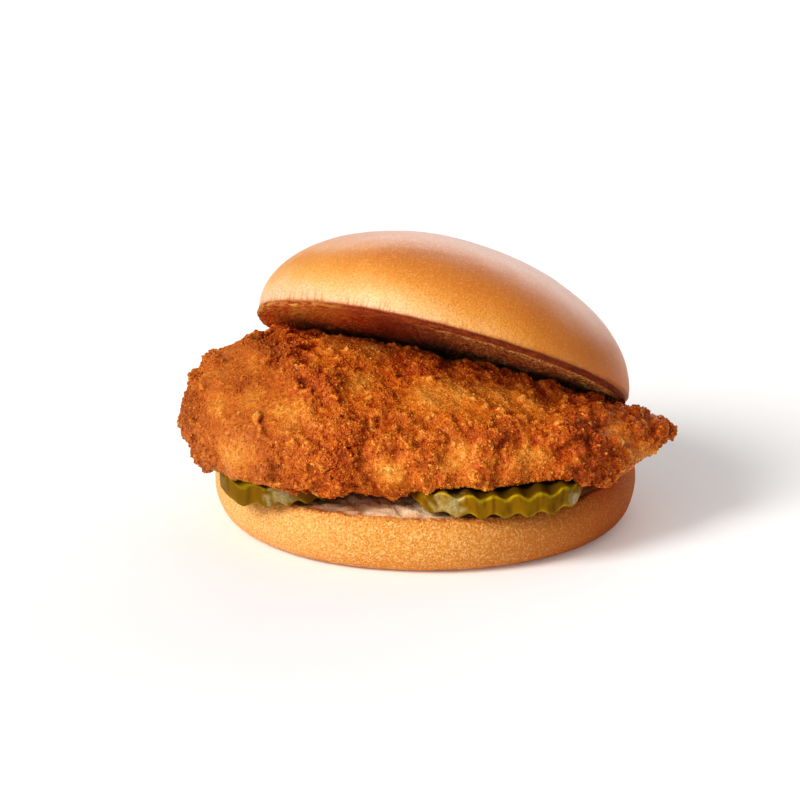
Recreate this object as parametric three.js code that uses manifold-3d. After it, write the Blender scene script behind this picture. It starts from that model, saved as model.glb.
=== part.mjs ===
// A chicken burger, in millimetres, +Z up.
// A round bun heel lies flat, two crinkle-cut pickle chips lie on its front edge, a thick
// breaded fillet lies over them with both ends past the bun, and the bun's crown leans back
// against the fillet with its lowest edge on the heel.
// The origin is the centre of the heel's flat base. +X runs along the fillet, towards its
// pointed end, and +Y towards the back of the burger.
import * as THREE from "three";
import { ImprovedNoise } from "three/addons/math/ImprovedNoise.js";
import { mergeVertices } from "three/addons/utils/BufferGeometryUtils.js";
import Module from "manifold-3d";

// Bun heel
const HEEL_RADIUS = 52.8; // widest, a little above mid-height
const HEEL_RIM_RADIUS = 50.5; // at the cut face
const HEEL_BASE_RADIUS = 45; // where the flat base ends
const HEEL_HEIGHT = 15.5;
const HEEL_WIDEST_AT = 9.3; // height of the widest ring
const HEEL_RIM_DROP = 0.6; // the cut face falls away towards its edge
const HEEL_RIM_BAND = 14; // how wide the band is that falls away
const HEEL_UNDERCURVE = 0.8; // exponent of the curve from the base out to the widest ring
const HEEL_STEPS = { under: 7, side: 3, rim: 4 };
const HEEL_SEGMENTS = 56;
const HEEL_UNEVENNESS = { share: 0.012, seed: 3.7 };

// Bun crown
const CROWN_RIM_RADIUS = 47.5; // at the cut face
const CROWN_BULGE = 0.3; // how far the side stands out past the rim
const CROWN_BULGE_AT = 3.4; // height of the widest ring above the cut face
const CROWN_HEIGHT = 29.1;
const CROWN_LEAN = 4.7; // how far the dome leans to the left, more so on its right side
const CROWN_ROUNDNESS = 2; // exponent of the dome's profile, 2 is an ellipse
const CROWN_EDGE = 0.8; // rounding of the cut face's edge
const CROWN_NORMAL = new THREE.Vector3(0.246, 0.437, 0.865).normalize(); // up through the dome
const CROWN_X = 4.1;
const CROWN_Y = 4;
const CROWN_STEPS = 12;
const CROWN_SEGMENTS = 60;
const CROWN_UNEVENNESS = { share: 0.016, seed: 8.2 };

// Pickle chips: pitch is the width of one crinkle, turn the angle in degrees that the
// crinkles are turned by, squareness the exponent of the outline, 2 being a circle, and curl
// how far the right end curls up
const PICKLES = [
  {
    name: "pickle_left",
    x: -33.7,
    y: -24.3,
    radius: 17.2,
    squareness: 2.1,
    pitch: 4.8,
    turn: 18,
    phase: -0.79,
    curl: 0,
  },
  {
    name: "pickle_right",
    x: 16.6,
    y: -29.6,
    radius: 21.6,
    squareness: 2.8,
    pitch: 5.9,
    turn: 7,
    phase: -1.78,
    curl: 1.2,
  },
];
const PICKLE_THICKNESS = 4.8;
const PICKLE_WAVE = 0.62; // half the height of a crinkle
const PICKLE_DROOP = 0.025; // how fast a chip bends down once past the heel's edge
const PICKLE_BENDS_FROM = 50.6; // distance from the burger's axis
const PICKLE_CURLS_FROM = -0.2; // where a chip starts to curl up, as a share of its radius
const PICKLE_EDGE = 0.7; // rounding of a chip's edges
const PICKLE_BEND_LINE = 0.6; // where it may bend, as a share of the way to its front edge
const PICKLE_WOBBLE = { share: 0.05, size: 5 }; // how uneven the outline is, over what length
const PICKLE_BUNCHING = 0.8; // how much closer the stations stand at a chip's two ends
const PICKLE_STATIONS = 50;

// Fillet, as it lies on the bun: at each x its front and back edges in y, and its top and
// underside in z
const FILLET_OUTLINE = [
  { x: -61, front: -21, back: 9, top: 35.4, under: 21.7 },
  { x: -55, front: -29, back: 17, top: 40.4, under: 19.4 },
  { x: -48, front: -38, back: 23, top: 43.8, under: 18 },
  { x: -39, front: -45, back: 27.5, top: 46.2, under: 16.4 },
  { x: -28, front: -49, back: 29.5, top: 47.2, under: 16 },
  { x: -14, front: -49.5, back: 30, top: 45.2, under: 16.2 },
  { x: 5, front: -49.5, back: 28, top: 43.4, under: 17.5 },
  { x: 24, front: -46, back: 23, top: 38.6, under: 18 },
  { x: 40, front: -38.5, back: 14, top: 34.8, under: 17 },
  { x: 50.5, front: -28, back: 4, top: 31.6, under: 18.8 },
  { x: 57, front: -20, back: -4, top: 28.9, under: 22 },
  { x: 61.2, front: -15, back: -9, top: 26.8, under: 24.2 },
];
const FILLET_END_ROUNDING = { left: 6.5, right: 2.5 };
const FILLET_SQUARENESS = { upper: 2.2, lower: 2.8 }; // exponents of a cross-section's halves
const FILLET_SAG = 3.2; // how far the front edge hangs
const FILLET_SETTLE = 2.6; // how far the back of the underside lies lower than the front
const FILLET_BUNCHING = 0.11; // how much closer the stations stand at the two ends
const FILLET_STATIONS = 73;
const FILLET_AROUND = 46;

// Breading relief on the fillet, coarse to fine: how far apart and how tall its lumps are
const RELIEF = [
  { size: 19, height: 2.1, creased: false },
  { size: 9, height: 1.5, creased: true },
  { size: 5, height: 0.8, creased: true },
];

const RELIEF_SHIFT = 11.3; // so that the layers don't line up
const CREASE_MEAN = 0.45; // taken off a creased layer, so that it goes in as well as out

const CLEARANCE = 0.35; // between any two pieces
const CHIP_DENT = { from: 0.5, to: 4 }; // past a chip's rim, where the fillet sinks to the heel

const { smoothstep } = THREE.MathUtils;
const up = new THREE.Vector3(0, 0, 1);
const noise = new ImprovedNoise();
const wasm = await Module();
wasm.setup();

const MERGE_WITHIN = 1e-4;

function toSolid(geometry) {
  const bare = new THREE.BufferGeometry();
  bare.setAttribute("position", geometry.getAttribute("position"));
  bare.setIndex(geometry.getIndex());
  const merged = mergeVertices(bare, MERGE_WITHIN);
  const vertProperties = merged.attributes.position.array;
  const triVerts = new Uint32Array(merged.index.array);
  return new wasm.Manifold(new wasm.Mesh({ numProp: 3, vertProperties, triVerts }));
}

function toGeometry(solid) {
  const mesh = solid.getMesh();
  const geometry = new THREE.BufferGeometry();
  geometry.setAttribute("position", new THREE.BufferAttribute(mesh.vertProperties, 3));
  geometry.setIndex(new THREE.BufferAttribute(mesh.triVerts, 1));
  geometry.computeVertexNormals();
  return geometry;
}

// A closed surface over rings of points, between a first and a last point. The rings turn
// anticlockwise as seen from the last point.
function closedLoft(first, rings, last) {
  const count = rings[0].length;
  const points = [first, ...rings.flat(), last];
  const lastIndex = points.length - 1;
  const index = [];
  for (let i = 0; i < count; i++) {
    const next = (i + 1) % count;
    index.push(0, 1 + next, 1 + i);
    for (let r = 0; r + 1 < rings.length; r++) {
      const low = 1 + r * count;
      const high = low + count;
      index.push(low + i, low + next, high + next);
      index.push(low + i, high + next, high + i);
    }
    const end = lastIndex - count;
    index.push(end + i, end + next, lastIndex);
  }
  const geometry = new THREE.BufferGeometry().setFromPoints(points);
  return geometry.setIndex(index);
}

// Turns a profile of [radius, height] pairs about +Z.
function turned(profile, segments) {
  const points = profile.map(([radius, height]) => new THREE.Vector2(radius, height));
  return new THREE.LatheGeometry(points, segments).rotateX(Math.PI / 2);
}

// Pushes the sides in and out a little, as dough rises unevenly.
function unevenly(geometry, { share, seed }) {
  const position = geometry.getAttribute("position");
  const point = new THREE.Vector3();
  for (let i = 0; i < position.count; i++) {
    point.fromBufferAttribute(position, i);
    const reach = Math.max(1, Math.hypot(point.x, point.y));
    const wave = noise.noise(point.x / reach + seed, point.y / reach + seed, seed);
    const scale = 1 + share * 2 * wave;
    position.setXY(i, point.x * scale, point.y * scale);
  }
  return geometry;
}

// Height of the heel's cut face at a distance from its axis.
function heelTop(radius) {
  const from = HEEL_RIM_RADIUS - HEEL_RIM_BAND;
  return HEEL_HEIGHT - HEEL_RIM_DROP * smoothstep(radius, from, HEEL_RIM_RADIUS);
}

function heelGeometry() {
  const profile = [[0, 0], [HEEL_BASE_RADIUS, 0]];
  for (let i = 1; i <= HEEL_STEPS.under; i++) {
    const angle = (i / HEEL_STEPS.under) * (Math.PI / 2);
    const curve = Math.pow(Math.sin(angle), HEEL_UNDERCURVE);
    const outward = (HEEL_RADIUS - HEEL_BASE_RADIUS) * curve;
    profile.push([HEEL_BASE_RADIUS + outward, HEEL_WIDEST_AT * (1 - Math.cos(angle))]);
  }
  const rise = heelTop(HEEL_RIM_RADIUS) - HEEL_WIDEST_AT;
  for (let i = 1; i <= HEEL_STEPS.side; i++) {
    const share = i / HEEL_STEPS.side;
    const inward = (HEEL_RADIUS - HEEL_RIM_RADIUS) * share * share;
    profile.push([HEEL_RADIUS - inward, HEEL_WIDEST_AT + rise * share]);
  }
  for (let i = 1; i <= HEEL_STEPS.rim; i++) {
    const radius = HEEL_RIM_RADIUS - (HEEL_RIM_BAND * i) / HEEL_STEPS.rim;
    profile.push([radius, heelTop(radius)]);
  }
  profile.push([0, HEEL_HEIGHT]);
  return unevenly(turned(profile, HEEL_SEGMENTS), HEEL_UNEVENNESS);
}

// The dome on its cut face, centred on the origin, before it is leaned back.
function crownProfile() {
  const profile = [[0, 0], [CROWN_RIM_RADIUS / 2, 0], [CROWN_RIM_RADIUS - CROWN_EDGE, 0]];
  profile.push([CROWN_RIM_RADIUS, CROWN_EDGE]);
  profile.push([CROWN_RIM_RADIUS + CROWN_BULGE / 2, (CROWN_EDGE + CROWN_BULGE_AT) / 2]);
  const widest = CROWN_RIM_RADIUS + CROWN_BULGE;
  const power = 2 / CROWN_ROUNDNESS;
  for (let i = 0; i < CROWN_STEPS; i++) {
    const angle = (i / CROWN_STEPS) * (Math.PI / 2);
    const rise = (CROWN_HEIGHT - CROWN_BULGE_AT) * Math.pow(Math.sin(angle), power);
    profile.push([widest * Math.pow(Math.cos(angle), power), CROWN_BULGE_AT + rise]);
  }
  profile.push([0, CROWN_HEIGHT]);
  return profile;
}

// Moves the dome's right side to the left, the more so the higher it is.
function leanLeft(geometry) {
  const position = geometry.getAttribute("position");
  for (let i = 0; i < position.count; i++) {
    const share = position.getZ(i) / CROWN_HEIGHT;
    const side = (1 + position.getX(i) / CROWN_RIM_RADIUS) / 2;
    position.setX(i, position.getX(i) - CROWN_LEAN * share * side);
  }
}

// Leans the crown back and lowers it until it rests on the heel. Returns its height too.
function leaningCrown() {
  const geometry = unevenly(turned(crownProfile(), CROWN_SEGMENTS), CROWN_UNEVENNESS);
  leanLeft(geometry);
  geometry.applyQuaternion(new THREE.Quaternion().setFromUnitVectors(up, CROWN_NORMAL));
  geometry.translate(CROWN_X, CROWN_Y, 0);
  const position = geometry.getAttribute("position");
  let height = 0;
  for (let i = 0; i < position.count; i++) {
    const top = heelTop(Math.hypot(position.getX(i), position.getY(i)));
    height = Math.max(height, top + CLEARANCE - position.getZ(i));
  }
  return { geometry: geometry.translate(0, 0, height), height };
}

const crown = leaningCrown();

// Height of the crown's cut face above a point of the table.
function crownFace(x, y) {
  const slope = CROWN_NORMAL.x * (x - CROWN_X) + CROWN_NORMAL.y * (y - CROWN_Y);
  return crown.height - slope / CROWN_NORMAL.z;
}

// Middle height of a chip's underside: it lies on the heel and bends down past its edge.
function chipBase(x, y) {
  const radius = Math.hypot(x, y);
  const past = Math.max(0, radius - PICKLE_BENDS_FROM);
  return heelTop(radius) + CLEARANCE + PICKLE_WAVE - PICKLE_DROOP * past * past;
}

function chipCurl(pickle, across) {
  return pickle.curl * smoothstep(across / pickle.radius, PICKLE_CURLS_FROM, 1);
}

// A disc with both faces rippled alike, lofted across its ripples. grow makes it larger all
// round.
function pickleGeometry(pickle, grow = 0) {
  const { x: centreX, y: centreY, radius, squareness, pitch, phase } = pickle;
  const angle = THREE.MathUtils.degToRad(pickle.turn);
  const [cos, sin] = [Math.cos(angle), Math.sin(angle)];
  const low = -grow;
  const high = PICKLE_THICKNESS + grow;
  const reach = radius + grow;
  const at = (across, along, lift) => {
    const x = centreX + across * cos - along * sin;
    const y = centreY + across * sin + along * cos;
    const ripple = PICKLE_WAVE * Math.sin((2 * Math.PI * across) / pitch + phase);
    return new THREE.Vector3(x, y, chipBase(x, y) + chipCurl(pickle, across) + ripple + lift);
  };
  const bunching = PICKLE_BUNCHING * (Math.PI / 2);
  const rings = [];
  for (let s = 1; s < PICKLE_STATIONS; s++) {
    const share = (2 * s) / PICKLE_STATIONS - 1;
    const across = (reach * Math.sin(share * bunching)) / Math.sin(bunching);
    const wave = noise.noise(across / PICKLE_WOBBLE.size, centreX, 0.5);
    const wobble = 1 + PICKLE_WOBBLE.share * wave;
    const inside = 1 - Math.pow(Math.abs(across / reach), squareness);
    const half = reach * Math.pow(inside, 1 / squareness) * wobble;
    const edge = Math.min(PICKLE_EDGE, half / 3);
    const bend = -half * PICKLE_BEND_LINE;
    rings.push([
      at(across, -half, high - edge),
      at(across, -half, low + edge),
      at(across, edge - half, low),
      at(across, bend, low),
      at(across, half - edge, low),
      at(across, half, low + edge),
      at(across, half, high - edge),
      at(across, half - edge, high),
      at(across, bend, high),
      at(across, edge - half, high),
    ]);
  }
  const middle = (low + high) / 2;
  return closedLoft(at(-reach, 0, middle), rings, at(reach, 0, middle));
}

// Height of what the fillet lies on: the heel, and the chips where they are.
function support(x, y) {
  const heel = heelTop(Math.hypot(x, y));
  let height = heel;
  for (const pickle of PICKLES) {
    const past = Math.hypot(x - pickle.x, y - pickle.y) - pickle.radius;
    const onChip = 1 - smoothstep(past, CHIP_DENT.from, CHIP_DENT.to);
    const curl = chipCurl(pickle, x - pickle.x);
    const chip = chipBase(x, y) + curl + PICKLE_THICKNESS + PICKLE_WAVE;
    height = Math.max(height, heel + (chip - heel) * onChip);
  }
  return height;
}

// How far the breading stands out at a point of the fillet.
function breading(point) {
  let height = 0;
  RELIEF.forEach((layer, i) => {
    const shift = RELIEF_SHIFT * (i + 1);
    const p = point.clone().divideScalar(layer.size).addScalar(shift);
    const wave = noise.noise(p.x, p.y, p.z);
    height += layer.height * (layer.creased ? 2 * Math.abs(wave) - CREASE_MEAN : wave);
  });
  return height;
}

// One cross-section of the bare fillet, as a ring of points.
function filletRing(x, edges, taper) {
  const middle = (edges.front + edges.back) / 2;
  const halfWide = ((edges.back - edges.front) / 2) * taper;
  const centre = (edges.top + edges.under) / 2;
  const halfTall = ((edges.top - edges.under) / 2) * taper;
  const ring = [];
  for (let i = 0; i < FILLET_AROUND; i++) {
    const angle = (i / FILLET_AROUND) * Math.PI * 2;
    const [cos, sin] = [Math.cos(angle), Math.sin(angle)];
    const power = 2 / (sin > 0 ? FILLET_SQUARENESS.upper : FILLET_SQUARENESS.lower);
    const across = Math.sign(cos) * Math.pow(Math.abs(cos), power);
    const height = Math.sign(sin) * Math.pow(Math.abs(sin), power);
    const sag = FILLET_SAG * taper * Math.pow(Math.min(0, across), 2);
    const settle = FILLET_SETTLE * taper * smoothstep(across, -0.5, 0.5) * ((1 - height) / 2);
    const y = middle + halfWide * across;
    ring.push(new THREE.Vector3(x, y, centre + halfTall * height - sag - settle));
  }
  return ring;
}

function bareFillet() {
  const keys = ["front", "back", "top", "under"];
  const places = FILLET_OUTLINE.map((row) => row.x);
  const values = FILLET_OUTLINE.flatMap((row) => keys.map((key) => row[key]));
  const curve = new THREE.CubicInterpolant(places, values, keys.length);
  const edgesAt = (x) => {
    const [front, back, top, under] = curve.evaluate(x);
    return { front, back, top, under };
  };
  const [left, right] = [places[0], places[places.length - 1]];
  const rounding = (distance, radius) => {
    return Math.sqrt(1 - Math.pow(1 - Math.min(1, distance / radius), 2));
  };
  const rings = [];
  for (let s = 1; s < FILLET_STATIONS; s++) {
    const even = s / FILLET_STATIONS;
    const share = even - Math.sin(2 * Math.PI * even) * FILLET_BUNCHING;
    const x = left + (right - left) * share;
    const atLeft = rounding(x - left, FILLET_END_ROUNDING.left);
    const atRight = rounding(right - x, FILLET_END_ROUNDING.right);
    rings.push(filletRing(x, edgesAt(x), atLeft * atRight));
  }
  const endPoint = (x) => {
    const edges = edgesAt(x);
    return new THREE.Vector3(x, (edges.front + edges.back) / 2, (edges.top + edges.under) / 2);
  };
  return closedLoft(endPoint(left), rings, endPoint(right));
}

// The fillet with its breading, pressed against what it touches above and below.
function filletGeometry() {
  const geometry = bareFillet();
  geometry.computeVertexNormals();
  const position = geometry.getAttribute("position");
  const normal = geometry.getAttribute("normal");
  const point = new THREE.Vector3();
  const outward = new THREE.Vector3();
  for (let i = 0; i < position.count; i++) {
    point.fromBufferAttribute(position, i);
    outward.fromBufferAttribute(normal, i);
    point.addScaledVector(outward, breading(point));
    const ceiling = crownFace(point.x, point.y) - CLEARANCE / CROWN_NORMAL.z;
    const floor = support(point.x, point.y) + CLEARANCE;
    point.z = Math.max(floor, Math.min(ceiling, point.z));
    position.setXYZ(i, point.x, point.y, point.z);
  }
  let solid = toSolid(geometry);
  for (const pickle of PICKLES) solid = solid.subtract(toSolid(pickleGeometry(pickle, CLEARANCE)));
  return toGeometry(solid);
}

const crust = new THREE.MeshStandardMaterial({ color: 0xe8a955, roughness: 0.45 });
const glazedCrust = new THREE.MeshStandardMaterial({ color: 0xd98a35, roughness: 0.3 });
const pickleFlesh = new THREE.MeshStandardMaterial({ color: 0x8c7a12, roughness: 0.25 });
const breadcrumb = new THREE.MeshStandardMaterial({ color: 0xb5601c, roughness: 0.55 });

function piece(name, geometry, material) {
  const mesh = new THREE.Mesh(geometry, material);
  mesh.name = name;
  return mesh;
}

const burger = new THREE.Group();
burger.add(piece("heel", heelGeometry(), crust));
for (const pickle of PICKLES) burger.add(piece(pickle.name, pickleGeometry(pickle), pickleFlesh));
burger.add(piece("fillet", filletGeometry(), breadcrumb));
burger.add(piece("crown", crown.geometry, glazedCrust));

export default burger;
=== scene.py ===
"""The looks of a chicken burger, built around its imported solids.

Lengths are in millimetres in the shape code and become metres when a mesh is made. The row
frame has its origin at the centre of the heel's flat base, +X along the fillet, +Z up.
"""

import math

import bmesh
import bpy
import numpy as np
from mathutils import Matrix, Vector
from mathutils.bvhtree import BVHTree
from mathutils.kdtree import KDTree


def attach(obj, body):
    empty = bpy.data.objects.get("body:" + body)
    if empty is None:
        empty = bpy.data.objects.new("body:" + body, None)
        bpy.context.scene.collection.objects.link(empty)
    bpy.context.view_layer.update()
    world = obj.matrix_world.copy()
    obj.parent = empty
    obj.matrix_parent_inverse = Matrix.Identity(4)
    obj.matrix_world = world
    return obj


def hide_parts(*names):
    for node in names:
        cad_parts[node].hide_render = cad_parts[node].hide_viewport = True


MM = 0.001

# Sizes repeated from the solids
HEEL_RADIUS = 52.8
HEEL_RIM_RADIUS = 50.5
HEEL_BASE_RADIUS = 45
HEEL_HEIGHT = 15.5
HEEL_WIDEST_AT = 9.3
HEEL_RIM_DROP = 0.6
HEEL_RIM_BAND = 14
HEEL_UNDERCURVE = 0.8
CROWN_RIM_RADIUS = 47.5
CROWN_BULGE = 0.3
CROWN_BULGE_AT = 3.4
CROWN_HEIGHT = 29.1
CROWN_LEAN = 4.7
CROWN_ROUNDNESS = 2
CROWN_EDGE = 0.8
CROWN_NORMAL = Vector((0.246, 0.437, 0.865)).normalized()
CROWN_X = 4.1
CROWN_Y = 4
RIM_LAYER_SQUEEZE = 0.14
CROWN_FINE_FROM = 26  # how far out the rings of the cut face come closer together
TURN_SEGMENTS = 400

# The crown's toasted edge curls down past its cut face as a lip
LIP_TOP = 0.3
LIP_DEPTH = 0.8
LIP_WIDTH = 1.8
LIP_RISE = 12  # how far in from the rim the face starts to bend down

PICKLES = {
    "pickle_left": dict(
        x=-33.7, y=-24.3, radius=17.2, squareness=2.1, pitch=4.8, turn=18, phase=-0.79, curl=0
    ),
    "pickle_right": dict(
        x=16.6, y=-29.6, radius=21.6, squareness=2.8, pitch=5.9, turn=7, phase=-1.78, curl=1.2
    ),
}
PICKLE_THICKNESS = 4.8
PICKLE_WAVE = 0.62
PICKLE_DROOP = 0.025
PICKLE_BENDS_FROM = 50.6
PICKLE_CURLS_FROM = -0.2
CHIP_STATIONS = 170
CHIP_SPANS = 46
CHIP_BUNCHING = 0.85
CHIP_EDGE = 0.45
CLEARANCE = 0.35
CHIP_DENT = (0.5, 4)  # past a chip's edge, where what holds the crust comes down

# Features of the fillet's front, as (x, v, radius): v is measured up its front, leaning back
# by VIEW_TILT. Golden places show the smooth coat, crusty ones clumped crumbs.
VIEW_TILT = math.radians(18)
GOLDEN = [
    (-51.9, 34.6, 5), (-43.9, 37.1, 3), (-42.9, 27.6, 3.5), (-33.9, 24.8, 4.5),
    (-51.1, 26.6, 4), (-46.4, 13.9, 5), (-23.9, 41.6, 5), (-18.9, 41.6, 5), (-13.9, 41.1, 5),
    (-16.8, 31.4, 4), (1.1, 29.6, 6), (7.4, 30, 6), (13.6, 29.6, 6), (19.9, 28.9, 6),
    (26.1, 28.1, 6), (31.6, 27.1, 5), (7.6, 14.3, 4.5), (-9.3, 9.3, 3.5), (25.5, 15.3, 4),
    (46.4, 20.5, 2.5), (54, 13.9, 4), (49.4, 17.9, 2),
]
CRUSTY = [
    (-54.1, 38.4, 3), (-41.9, 40.1, 3), (-39.4, 40.6, 3), (-36.9, 40.1, 3), (-33.4, 41.4, 3),
    (-33.9, 35.6, 3), (-25.4, 33.4, 3), (-59.9, 27.6, 3), (-60.1, 23.9, 3),
    (-22.6, 37.4, 2.5), (-18.6, 39.1, 2.5), (-0.6, 35.6, 3.5), (11.1, 35.1, 4), (16.1, 34.1, 4),
    (21.1, 33.4, 4), (26.1, 32.4, 3), (31.4, 31.6, 3.5), (-19.6, 19.6, 5), (-19.6, 15.1, 5),
    (-19.6, 10.6, 5), (37.6, 23.9, 5), (37.6, 20.1, 5), (37.6, 17.4, 4), (51.5, 27.1, 4),
    (59.9, 20.9, 3), (-32.9, 6.4, 3), (-24.4, 4.9, 3), (-16.1, 2.4, 3), (34.4, 9.4, 3),
    (39.1, 9.1, 3), (41.9, 15.4, 3),
]
PITS = [
    (-30.4, 31.9, 1.8), (-5.6, 37.4, 2.2), (-5.1, 34.4, 2.2), (-7.1, 14.6, 1.5),
    (0.6, 14.6, 1.5), (11.6, 19.1, 1.5), (41.4, 19.9, 2.2), (18.6, 18.1, 2), (22.4, 17.6, 2),
    (26.6, 17.4, 2), (-29.9, 40.1, 1.2), (-29.4, 37.1, 1.2),
]
NUGGETS = [
    (-41.4, 22.9, 2.0), (-32.1, 16.4, 1.6), (-38.1, 14.6, 1.6), (-2.5, 12.5, 1.2),
    (23.9, 27.4, 1.6), (23.9, 22.4, 1.8), (10.6, 39.4, 2.2), (-33.4, 41.4, 2.2),
    (42.4, 31.6, 1.6), (44.9, 30.6, 1.6), (44.4, 29.4, 1.4), (51.1, 27.6, 1.5),
    (34.4, 9.4, 1.8), (39.1, 9.1, 1.8), (41.9, 15.4, 1.8), (-32.9, 6.4, 1.8),
    (-24.4, 4.9, 1.8), (-16.1, 2.4, 1.8),
]
# Raised flaps of crust, as (x, v, x, v, width, height): a line from one place to another
FLAPS = [
    (-43, 41.5, -34, 38.2, 1.5, 2.0), (-26.5, 35.5, -24.5, 31, 0.9, 1.1),
    (10, 35.4, 28, 32.4, 1.3, 1.7), (38, 31.3, 45, 29.8, 1.2, 1.5),
    (50, 28.3, 54, 26.3, 1.0, 1.3), (-20.5, 21, -19, 9, 2.0, 1.0),
    (-58, 30, -60, 22, 1.6, 0.8), (-30, 18, -38, 22, 1.6, 0.8), (4, 24, 9, 17, 1.6, 0.9),
]
# The crust's skin: remade twice as an even mesh, first over the solid, sunk a little, then
# over that with its lumps
CORE_VOXEL = 0.8
CORE_SMOOTHING = 7
CORE_SINK = 0.9
SKIN_VOXEL = 0.42
SKIN_TRIANGLES = 190000
WIDE_ROUNDS = 26  # rounds of smoothing that find the hollows and the creases
NARROW_ROUNDS = 5
LUMP_COUNT = 1150
GRAIN_COUNT = 10000
PALE_CRUMBS = 0.07
CRUMB_PIECES = 3
CRUMBS_A_PIECE = 8000

# Where the crust hangs lower over the chips, as (x, v, radius, drop)
SAGS = [
    (-52, 11, 5, 0.9), (-46, 9, 5, 1.3), (-40, 7.5, 5, 1.5), (-34, 5.5, 5, 0.9),
    (-12, 3.5, 7, 0.5), (8, 7, 6, 1.2), (17, 8, 6, 1.6), (26, 9, 6, 1.6), (35, 9.5, 6, 1.3),
]
# The fillet's left end is blunt: what stands out past this is squeezed
BLUNT_FROM = -60
BLUNT_SQUEEZE = 0.45
# How far the crust may stand out from its solid, where the outline shows and on the front
OUTLINE_REACH = 0.1
FRONT_REACH = 1.5
# The gaps it keeps below the crown's cut face and its lip, and above what it rests on
FACE_GAP = 0.15
LIP_GAP = 0.3
REST_GAP = 0.1

# Wet patches on the chips' walls, as the fillet's features: glossy, and pale with a painted
# highlight of their glare
WET_PATCHES = [(5.5, 1.2, 5.5), (-35.6, 3.6, 4.6), (36.6, 3.2, 2.4)]

# Light: a soft key and a fill from the front left, and a screen behind for the crown's sheen
KEY_PLACE = (-1.15, -0.86, 1.03)
KEY_LIGHT = 2.5
KEY_SPREAD = 26
KEY_COLOUR = (1.0, 0.98, 0.95)
SCREEN_X = 0.3
SCREEN_Z = 0.27
SCREEN_WIDTH = 0.62
SCREEN_HEIGHT = 0.3
SCREEN_LIGHT = 2.35
LOW_SKY = 0.03
HIGH_SKY = 0.4
FLOOR_GLOW = 0.13
FLOOR_HALF = 8000
FILL_TOWARDS = (-0.5, -0.86, 0.0)
FILL_LIGHT = 1.3

# The camera: a long lens, at the photograph's height above the table
CAMERA_LENS = 360
CAMERA_AWAY = 2000
CAMERA_SEES_TO = 60000
CAMERA_TARGET = (-6.4, 0, 29)

TONE_CURVE = [(0.04, 0.016), (0.15, 0.1), (0.3, 0.24), (0.55, 0.51), (0.8, 0.79)]

rng = np.random.default_rng(20)


def rgb(red, green, blue):
    """A colour given in display values from 0 to 255, as the linear values a shader takes."""
    display = np.array([red, green, blue]) / 255
    linear = np.where(display <= 0.04045, display / 12.92, ((display + 0.055) / 1.055) ** 2.4)
    return (*(float(c) for c in linear), 1.0)


def smoothstep(value, low, high):
    share = np.clip((value - low) / (high - low), 0, 1)
    return share * share * (3 - 2 * share)


def noise(points, size, seed):
    """Smooth gradient noise, about -1 to 1, with features of that size."""
    table = np.random.default_rng(seed)
    count = 4096
    gradients = table.normal(size=(count, 3))
    gradients /= np.linalg.norm(gradients, axis=1, keepdims=True)
    place = points / size
    cell = np.floor(place).astype(np.int64)
    inside = place - cell
    fade = inside**3 * (inside * (inside * 6 - 15) + 10)
    total = np.zeros(len(points))
    for corner in np.ndindex(2, 2, 2):
        at = cell + corner
        key = (at[:, 0] * 73856093) ^ (at[:, 1] * 19349663) ^ (at[:, 2] * 83492791)
        away = inside - corner
        share = np.prod(np.where(corner, fade, 1 - fade), axis=1)
        total += share * np.einsum("ij,ij->i", gradients[key % count], away)
    return total * 1.6


def new_object(name, data):
    made = bpy.data.objects.new(name, data)
    bpy.context.scene.collection.objects.link(made)
    return made


def mesh_object(name, points, faces):
    mesh = bpy.data.meshes.new(name)
    mesh.from_pydata((points * MM).tolist(), [], faces)
    mesh.update()
    mesh.shade_smooth()
    return new_object(name, mesh)


def read(items, name, width, kind=np.float32):
    flat = np.empty(len(items) * width, kind)
    items.foreach_get(name, flat)
    return flat.reshape(-1, width)


def get_points(mesh):
    return read(mesh.vertices, "co", 3).astype(float) / MM


def set_points(mesh, points):
    mesh.vertices.foreach_set("co", (points * MM).astype(np.float32).ravel())
    mesh.update()


def get_normals(mesh):
    return read(mesh.vertex_normals, "vector", 3).astype(float)


def get_edges(mesh):
    return read(mesh.edges, "vertices", 2, np.int32)


def smoothed(points, edges, rounds):
    """The points of a mesh, averaged with their neighbours that many times."""
    ends = np.concatenate([edges[:, 0], edges[:, 1]])
    others = np.concatenate([edges[:, 1], edges[:, 0]])
    degree = np.maximum(np.bincount(ends, minlength=len(points)), 1)
    for _ in range(rounds):
        columns = [
            np.bincount(ends, weights=points[others, k], minlength=len(points)) / degree
            for k in range(3)
        ]
        points = (points + np.stack(columns, 1)) / 2
    return points


def mark(piece, **attributes):
    """Gives each vertex numbers or places that the materials read."""
    for name, values in attributes.items():
        kind, part = ("FLOAT", "value") if values.ndim == 1 else ("FLOAT_VECTOR", "vector")
        layer = piece.data.attributes.new(name, kind, "POINT")
        layer.data.foreach_set(part, values.astype(np.float32).ravel())


def modified(source, kind, **settings):
    """The object's mesh with one modifier applied. The object goes."""
    name = source.name
    modifier = source.modifiers.new("change", kind)
    for key, value in settings.items():
        setattr(modifier, key, value)
    bpy.context.view_layer.update()
    depsgraph = bpy.context.evaluated_depsgraph_get()
    mesh = bpy.data.meshes.new_from_object(source.evaluated_get(depsgraph))
    bpy.data.objects.remove(source)
    return new_object(name, mesh)


def remeshed(source, voxel):
    """The object's mesh, remade as one even skin."""
    return modified(source, "REMESH", mode="VOXEL", voxel_size=voxel * MM, adaptivity=0)


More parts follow.
